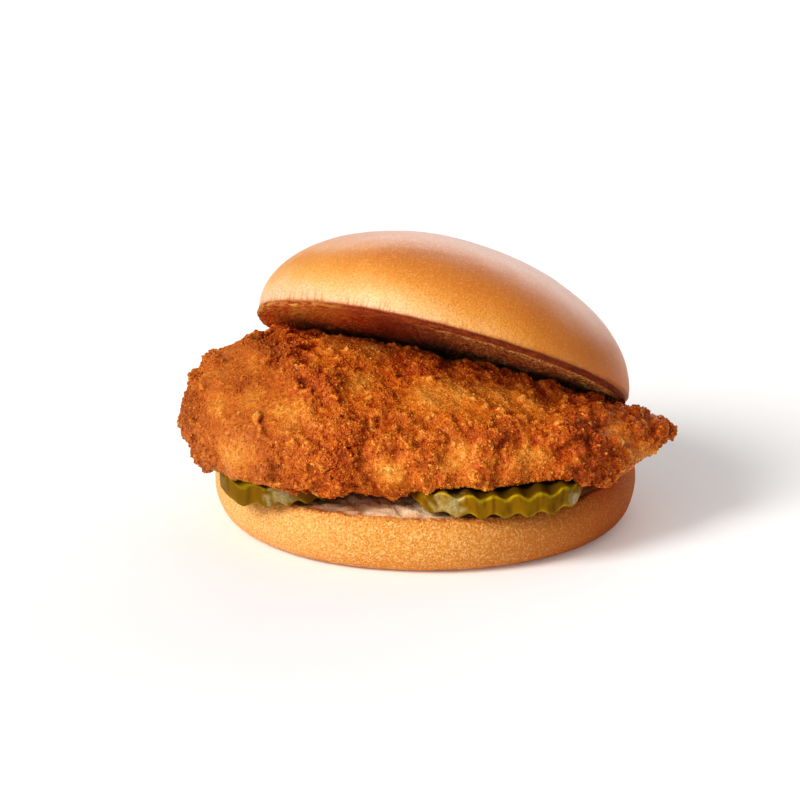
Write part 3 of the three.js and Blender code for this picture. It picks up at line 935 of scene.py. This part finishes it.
def crown_material():
    g = Graph("bun_crown", turned_place=True)
    level = g.attribute("level")
    cut = g.attribute("cut")
    hairs = g.noise(0.8, 3, 0.6, g.stretched((1, 1, 0.12)))
    blotch = g.noise(12, 2, 0.5)
    shifted = g.plus(level, g.span(blotch, 0.3, 0.7, -1.4, 1.4))
    # paler towards the left and browner towards the right: partly the bun's own uneven browning,
    # partly painted light from the key on the left and painted shade on the right
    shifted = g.plus(shifted, g.by_x(-38, 36, -1.5, 8.0))
    colour = g.ramp(g.math("DIVIDE", shifted, 30), [
        (0.0, 240, 196, 158), (0.09, 240, 194, 146),
        (0.17, 242, 182, 112), (0.32, 234, 160, 70),
        (0.54, 218, 134, 40), (0.74, 200, 114, 30),
        (1.0, 184, 102, 30),
    ])
    # painted shade: the right side is mixed towards brown where the key light doesn't reach
    to_right = g.by_x(14, 42, 0.0, 0.8)
    colour = g.mix(to_right, colour, rgb(192, 106, 42))
    grain = g.noise(0.45, 2, 0.6)
    colour = g.mix(g.span(grain, 0.42, 0.66, 0.0, 0.45), colour, rgb(186, 100, 28))
    pale = g.span(g.noise(0.6, 2, 0.7), 0.52, 0.7, 0.0, 0.3)
    pale = g.times(pale, g.by_x(-10, 30, 1.0, 0.4))
    colour = g.mix(pale, colour, rgb(252, 216, 156))
    # short brown hairs that run up from the cut, and a thin brown line along it
    rising = g.span(level, 0.4, 3.8, 0.85, 0.0)
    low = g.times(rising, g.by_x(-40, 30, 1, 0.35))
    hairy = g.times(g.span(hairs, 0.5, 0.64), low)
    colour = g.mix(hairy, colour, rgb(184, 104, 34))
    line = g.plus(level, g.span(g.noise(2.2, 3, 0.6), 0.3, 0.7, -0.2, 0.2))
    colour = g.mix(g.span(line, 0.3, 1.5, 0.9, 0.0), colour, rgb(166, 82, 16))

    # the cut face: layered at its left end, which painted light brightens where it lies in shade,
    # painted shadow in the middle, a rough beige band on the right, and browner along its lip
    crumb = crumb_colour(g, CROWN_CRUMB, 0.8, 0.7, rgb(236, 160, 84))
    inward = g.attribute("depth")
    layered = g.span(g.layers(0.55), 0.42, 0.6)
    left_end = g.by_x(-38, -24, 0.85, 0.0)
    crumb = g.mix(left_end, crumb, g.mix(layered, rgb(255, 196, 96), rgb(226, 104, 16)))
    # painted shadow darkens the middle of the cut face
    middle = g.times(g.by_x(-28, -16), g.span(inward, 2.5, 4))
    crumb = g.mix(g.times(middle, 0.7), crumb, rgb(110, 34, 4))
    lip = g.span(inward, 1.5, 2.8, 0.75, 0.0)
    lip = g.times(lip, g.span(layered, 0, 1, 0.6, 1.0))
    crumb = g.mix(lip, crumb, rgb(120, 44, 4))
    torn = g.mix(g.span(g.noise(0.8, 3, 0.7), 0.45, 0.58), rgb(180, 100, 40), rgb(255, 226, 146))
    band = g.times(g.span(inward, 1.0, 2.2), g.span(inward, 7, 13, 0.95, 0.4))
    band = g.times(band, g.by_x(-14, 4))
    crumb = g.mix(band, crumb, torn)
    colour = g.mix(cut, colour, crumb)
    height = g.plus(g.times(grain, 0.7), g.times(hairs, 0.2))
    depth = g.span(cut, 0, 1, 0.3 * MM, 1.1 * MM)
    normal = g.bump(g.mix(cut, height, crumb_height(g)), depth, 0.8)
    g.set(Base_Color=colour, Normal=normal, Roughness=g.span(cut, 0, 1, 0.5, 0.85))
    glazed = g.span(level, 1.0, 16.0, 0.06, 0.62)
    g.set(Coat_Weight=g.times(glazed, g.span(cut, 0, 1, 1.0, 0.0)))
    # light passes through the airy crumb, most at its left end
    airy = g.times(cut, g.by_x(-30, -5, 0.75, 0.15))
    through = g.span(airy, 0, 0.75, 2 * MM, 7 * MM)
    g.set(Coat_Roughness=0.32)
    g.translucent(g.math("MAXIMUM", airy, 0.1), through, (1.0, 0.45, 0.2))
    return g.material


def crumb_height(g):
    """Torn crumb: fine grit with pores, and layers along the edge."""
    layers = g.layers(0.6)
    near_rim = g.span(g.attribute("depth"), 3.0, 8.0, 1.0, 0.0)
    grit = g.plus(g.noise(0.9, 4, 0.7), g.times(g.cells(1.4), 0.5))
    return g.plus(grit, g.times(layers, near_rim))


def crumb_colour(g, stops, layering, porosity, fleck_colour):
    """Toasted towards the edge, paler further in, with painted shade in the pores, and flecks."""
    toast = g.plus(g.attribute("depth"), g.span(g.noise(3, 3, 0.6), 0.3, 0.7, -1.6, 1.6))
    colour = g.ramp(g.math("DIVIDE", toast, 16), stops)
    layers = g.layers(0.55)
    near_rim = g.span(g.attribute("depth"), 4.0, 9.0, 1.0, 0.0)
    lines = g.times(g.span(layers, 0.46, 0.6, 0.0, layering), near_rim)
    colour = g.mix(lines, colour, rgb(130, 44, 2))
    # painted shade in the pores
    pores = g.span(g.cells(1.3), 0.05, 0.4, porosity, 0.0)
    colour = g.mix(pores, colour, rgb(120, 54, 16))
    inside = g.span(g.attribute("depth"), 1.0, 6.0, 0.2, 1.0)
    fleck = g.times(g.span(g.noise(0.7, 3, 0.75), 0.5, 0.6, 0.0, 0.9), inside)
    return g.mix(fleck, colour, fleck_colour)


def heel_material():
    g = Graph("bun_heel", turned_place=True)
    level = g.attribute("level")
    cut = g.attribute("cut")
    blotch = g.noise(9, 2, 0.5)
    layers = g.layers(0.5)
    shifted = g.plus(level, g.span(blotch, 0.3, 0.7, -1.0, 1.0))
    colour = g.ramp(g.math("DIVIDE", shifted, 16), [
        (0.0, 196, 116, 46), (0.05, 224, 154, 76),
        (0.3, 230, 166, 84), (0.75, 232, 168, 86),
        (0.88, 226, 154, 70), (1.0, 206, 124, 52),
    ])
    # painted light makes the left paler, where the key falls, and painted shade browns the right
    # side
    colour = g.mix(g.by_x(-50, -10, 0.5, 0.0), colour, rgb(250, 210, 146))
    colour = g.mix(g.by_x(6, 46, 0.0, 0.85), colour, rgb(162, 72, 10))
    # wrinkled flakes along the top edge
    by_edge = g.span(level, 13.6, 14.6, 0.0, 0.9)
    flaky = g.times(g.span(layers, 0.44, 0.56), by_edge)
    colour = g.mix(flaky, colour, rgb(164, 82, 26))
    grain = g.noise(0.5, 2, 0.7)
    colour = g.mix(g.span(grain, 0.42, 0.6, 0.0, 0.6), colour, rgb(194, 106, 32))
    pale = g.span(g.noise(0.6, 2, 0.7), 0.5, 0.64, 0.0, 0.55)
    pale = g.times(pale, g.by_x(10, 44, 1.0, 0.25))
    colour = g.mix(pale, colour, rgb(255, 220, 162))
    colour = g.mix(cut, colour, crumb_colour(g, HEEL_CRUMB, 0.0, 0.25, rgb(255, 246, 226)))
    rough = g.plus(grain, g.times(layers, by_edge))
    height = g.mix(cut, rough, g.noise(0.6, 3, 0.7))
    g.set(Base_Color=colour, Normal=g.bump(height, 0.5 * MM, 0.8), Roughness=0.7)
    g.set(Specular_IOR_Level=0.25)
    g.translucent(0.08, 2 * MM, (1.0, 0.5, 0.25))
    return g.material


def breading_material():
    g = Graph("breading")
    fine = g.noise(1.0, 3, 0.65)
    grain = g.noise(0.5, 2, 0.6)
    value = g.plus(g.attribute("browning"), g.span(fine, 0.25, 0.75, 0.14, -0.14))
    value = g.plus(value, g.span(grain, 0.25, 0.75, 0.15, -0.15))
    # painted shade: darker in the hollows and the creases
    value = g.plus(value, g.times(g.attribute("hollow"), 0.2))
    value = g.plus(value, g.times(g.attribute("crease"), 0.1))
    colour = g.ramp(value, [
        (0.0, 243, 186, 106), (0.22, 229, 149, 62),
        (0.42, 208, 114, 38), (0.62, 187, 87, 26),
        (0.8, 162, 74, 17), (1.0, 128, 54, 10),
    ])
    # the left end is less red
    to_left = g.by_x(-26, -42)
    colour = g.mix(g.times(to_left, 0.22), colour, rgb(150, 118, 66))
    height = g.plus(g.times(fine, 0.35), g.times(grain, 0.65))
    shine = g.span(g.noise(1.0, 2, 0.6), 0.35, 0.65, 0.22, 0.55)
    # duller on the high left shoulder
    shoulder = g.times(to_left, g.span(g.z, 30 * MM, 38 * MM))
    shine = g.math("ADD", shine, g.times(shoulder, 0.4), use_clamp=True)
    g.set(Base_Color=colour, Normal=g.bump(height, 0.45 * MM, 0.8), Roughness=shine)
    g.set(Specular_Tint=rgb(255, 240, 220), Specular_IOR_Level=0.36)
    g.set(Coat_Weight=g.span(shoulder, 0, 1, 0.07, 0.0), Coat_Roughness=0.22)
    g.translucent(0.2, 2 * MM, (1.0, 0.32, 0.1))
    return g.material


def pickle_material():
    g = Graph("pickle")
    rim_gap = g.attribute("rim_gap")
    mottled = g.noise(2.2, 3, 0.6)
    near_skin = g.plus(rim_gap, g.span(mottled, 0.3, 0.7, -0.5, 0.5))
    # the flesh: bright along the skin as painted light through the lit edge, and dark further in
    # as painted shade under the fillet
    flesh = g.ramp(g.math("DIVIDE", near_skin, 8), [
        (0.0, 184, 160, 14), (0.05, 140, 112, 8),
        (0.14, 108, 82, 6), (0.4, 92, 70, 8),
        (1.0, 84, 66, 16),
    ])
    # the left chip's outer end is painted brighter, where it comes out of the fillet's shade
    flesh = g.mix(g.by_x(-36, -26, 0.7, 0.0), flesh, rgb(160, 146, 12))
    wall = g.span(rim_gap, 0.05, 0.45, 1.0, 0.0)
    # the wall: bright bands along its top and bottom edges are painted light through the lit
    # edges
    skin = g.ramp(g.plus(g.attribute("lift"), g.span(mottled, 0.3, 0.7, -0.08, 0.08)), [
        (0.0, 176, 146, 20), (0.1, 156, 120, 6),
        (0.3, 148, 108, 2), (0.86, 146, 110, 2),
        (0.94, 178, 150, 10), (1.0, 184, 160, 14),
    ])
    # painted shade on the left chip's wall
    to_left = g.by_x(-24, -14, 0.45, 0.0)
    skin = g.mix(to_left, skin, rgb(96, 70, 2))
    colour = g.mix(wall, flesh, skin)
    dark = g.span(g.attribute("stripe"), 0.0, 0.6, 0.0, 0.6)
    colour = g.mix(g.times(dark, wall), colour, rgb(96, 64, 2))
    # painted shade in the troughs of the crinkles
    trough = g.span(g.attribute("ripple"), -1, 0.4, 0.35, 0.0)
    colour = g.mix(trough, colour, rgb(100, 76, 2))
    # the wet patches: glossy, with pale speckles as a painted highlight of their glare
    wet = g.span(g.attribute("wet"), 0.35, 0.95)
    speckled = g.times(wet, g.span(g.noise(0.7, 3, 0.6), 0.35, 0.65, 0.3, 0.95))
    colour = g.mix(speckled, colour, rgb(178, 162, 112))
    g.set(Base_Color=colour, Normal=g.bump(mottled, 0.25 * MM, 0.4))
    g.set(Roughness=g.span(wet, 0, 1, 0.5, 0.25), Specular_IOR_Level=0.12)
    g.set(Coat_Weight=g.span(wet, 0, 1, 0.0, 0.7), Coat_Roughness=0.25)
    g.translucent(0.2, 3 * MM, (0.9, 0.8, 0.15))
    return g.material


# The scene around it

def build_floor():
    points = np.array([[-1, -1, 0], [1, -1, 0], [1, 1, 0], [-1, 1, 0]]) * FLOOR_HALF
    floor = mesh_object("floor", points, [(0, 1, 2, 3)])
    g = Graph("floor")
    g.set(Base_Color=rgb(246, 245, 245), Roughness=0.9, Specular_IOR_Level=0.0)
    g.set(Emission_Color=rgb(255, 254, 253), Emission_Strength=FLOOR_GLOW)
    floor.data.materials.append(g.material)


def aim(thing, target):
    direction = Vector(target) - thing.location
    thing.rotation_euler = direction.to_track_quat("-Z", "Y").to_euler()


def build_lights():
    sun = bpy.data.lights.new("key", "SUN")
    sun.energy = KEY_LIGHT
    sun.angle = math.radians(KEY_SPREAD)
    sun.color = KEY_COLOUR
    key = new_object("key", sun)
    key.location = KEY_PLACE
    aim(key, (0, 0, 0))

    # the surround: dim by the horizon, lighter overhead, with a screen behind and the fill
    world = bpy.context.scene.world or bpy.data.worlds.new("surround")
    bpy.context.scene.world = world
    world.use_nodes = True
    g = Nodes(world.node_tree)

    def fade(value, low, high, to_low, to_high):
        return g.span(value, low, high, to_low, to_high, interpolation_type="SMOOTHSTEP")

    direction = g.node("TexCoord", {}).outputs["Generated"]
    x, y, z = g.node("SeparateXYZ", {0: direction}).outputs
    across = g.math("DIVIDE", g.plus(x, -SCREEN_X), SCREEN_WIDTH)
    above = g.math("DIVIDE", g.plus(z, -SCREEN_Z), SCREEN_HEIGHT)
    away = g.plus(g.math("POWER", across, 2.0), g.math("POWER", above, 2.0))
    lit = fade(away, 0.5, 1.3, SCREEN_LIGHT, 0.0)
    screen = g.times(lit, fade(y, 0.1, 0.4, 0.0, 1.0))
    sky = fade(z, 0.0, 0.8, LOW_SKY, HIGH_SKY)
    facing = [g.times(part, share) for part, share in zip((x, y, z), FILL_TOWARDS)]
    towards = g.plus(g.plus(facing[0], facing[1]), facing[2])
    fill = fade(towards, 0.45, 1.0, 0.0, FILL_LIGHT)
    background = g.tree.nodes["Background"]
    g.feed(background.inputs["Color"], (1.0, 1.0, 1.0, 1.0))
    g.feed(background.inputs["Strength"], g.plus(g.plus(screen, sky), fill))


def build_camera():
    data = bpy.data.cameras.new("camera")
    data.lens = CAMERA_LENS
    data.clip_end = CAMERA_SEES_TO * MM
    camera = new_object("camera", data)
    target = Vector(CAMERA_TARGET) * MM
    away = Vector((0, -math.cos(VIEW_TILT), math.sin(VIEW_TILT)))
    camera.location = target + away * (CAMERA_AWAY * MM)
    aim(camera, target)
    bpy.context.scene.camera = camera


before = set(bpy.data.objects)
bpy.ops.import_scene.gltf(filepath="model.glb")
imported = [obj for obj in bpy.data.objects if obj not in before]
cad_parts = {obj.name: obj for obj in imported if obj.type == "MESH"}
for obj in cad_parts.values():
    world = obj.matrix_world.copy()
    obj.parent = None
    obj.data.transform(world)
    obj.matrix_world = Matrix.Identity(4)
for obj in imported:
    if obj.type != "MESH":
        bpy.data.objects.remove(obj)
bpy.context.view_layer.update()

build_camera()
build_lights()
build_floor()
crown_piece, crown_seat = build_crown()
finish_piece(crown_piece, "crown", crown_material())
finish_piece(build_heel(), "heel", heel_material())
flesh = pickle_material()
finish_piece(build_pickle("pickle_left", 21), "pickle_left", flesh)
finish_piece(build_pickle("pickle_right", 22), "pickle_right", flesh)
breading = breading_material()
skin_piece = build_fillet(crown_seat)
finish_piece(skin_piece, "fillet", breading)
for crumb_piece in build_crumbs(skin_piece, crown_seat):
    finish_piece(crumb_piece, "fillet", breading)

# deep shades are pressed down, which also deepens their colour
view = bpy.context.scene.view_settings
view.view_transform = "Standard"
view.use_curve_mapping = True
tones = view.curve_mapping.curves[3]
for shade, shown in TONE_CURVE:
    tones.points.new(shade, shown)
view.curve_mapping.update()
